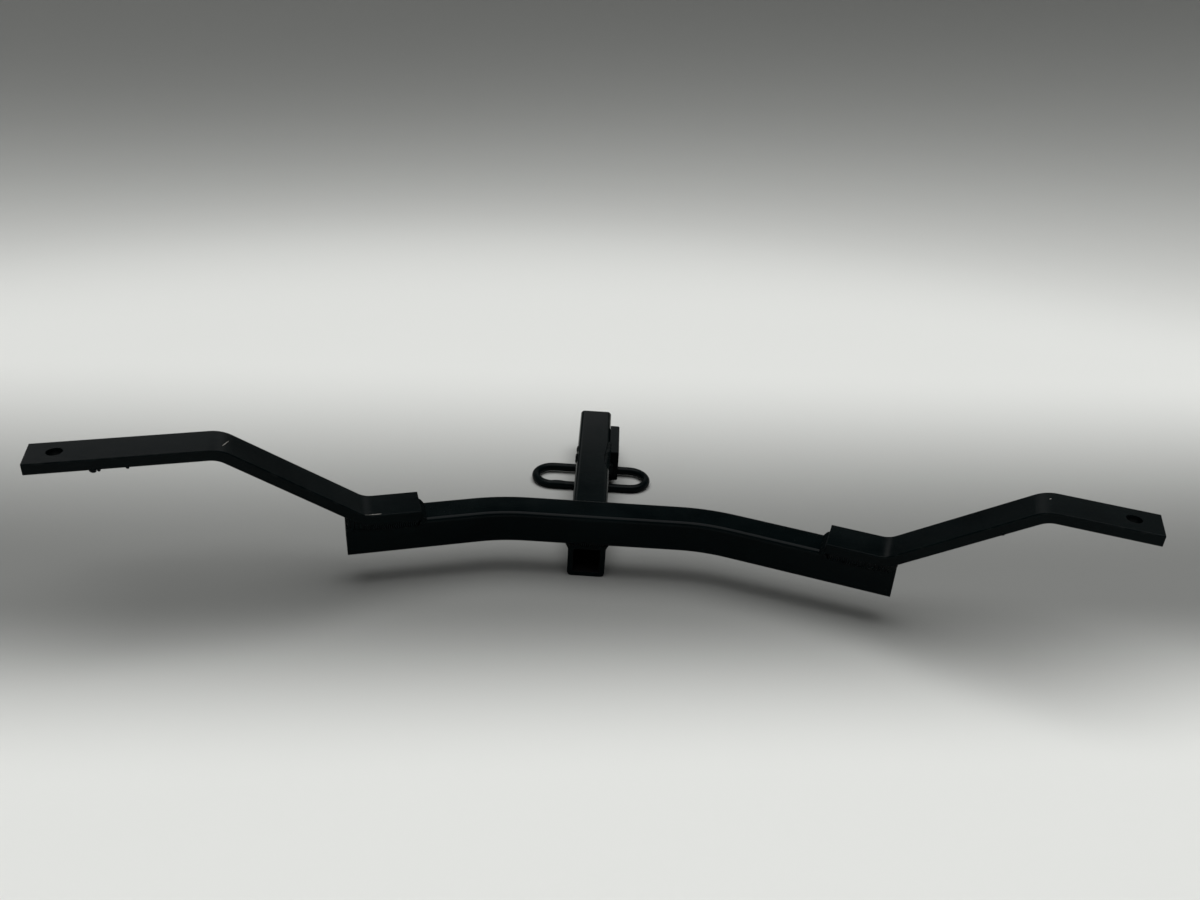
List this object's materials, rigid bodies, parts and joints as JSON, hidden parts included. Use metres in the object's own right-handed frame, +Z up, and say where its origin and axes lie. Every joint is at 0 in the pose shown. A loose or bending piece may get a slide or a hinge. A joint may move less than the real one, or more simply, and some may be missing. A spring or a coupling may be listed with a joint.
{
  "type": "trailer hitch",
  "caption": "Welded receiver hitch: square receiver tube under a bent cross tube, two flat-bar arms that rise to frame bolt holes, and a round-rod safety-chain loop.",
  "frame": {"origin": "centre of the hitch-pin hole, on the receiver tube's axis", "axes": "+Y out of the receiver's mouth, towards the vehicle's rear; +X along the pin, to the right of someone looking along +Y; +Z up as fitted"},
  "size_m": [1.1528, 0.4944, 0.2062],
  "materials": {
    "frame_paint": "semi-gloss black paint on mild steel",
    "weld_paint": "the same black paint over weld beads"
  },
  "bodies": {
    "root": {"block_weld_front": "weld_paint", "block_weld_rear": "weld_paint", "block_weld_top": "weld_paint", "chain_loop": "frame_paint", "cross_tube": "frame_paint", "left_arm": "frame_paint", "left_arm_weld_front": "weld_paint", "left_arm_weld_inner": "weld_paint", "left_arm_weld_rear": "weld_paint", "left_arm_weld_wedge": "weld_paint", "loop_weld_front_ahead": "weld_paint", "loop_weld_front_behind": "weld_paint", "loop_weld_rear_ahead": "weld_paint", "loop_weld_rear_behind": "weld_paint", "receiver_tube": "frame_paint", "receiver_weld_front": "weld_paint", "receiver_weld_left": "weld_paint", "receiver_weld_rear": "weld_paint", "receiver_weld_right": "weld_paint", "right_arm": "frame_paint", "right_arm_weld_front": "weld_paint", "right_arm_weld_inner": "weld_paint", "right_arm_weld_rear": "weld_paint", "right_arm_weld_wedge": "weld_paint", "side_block": "frame_paint"}
  },
  "joints": []
}
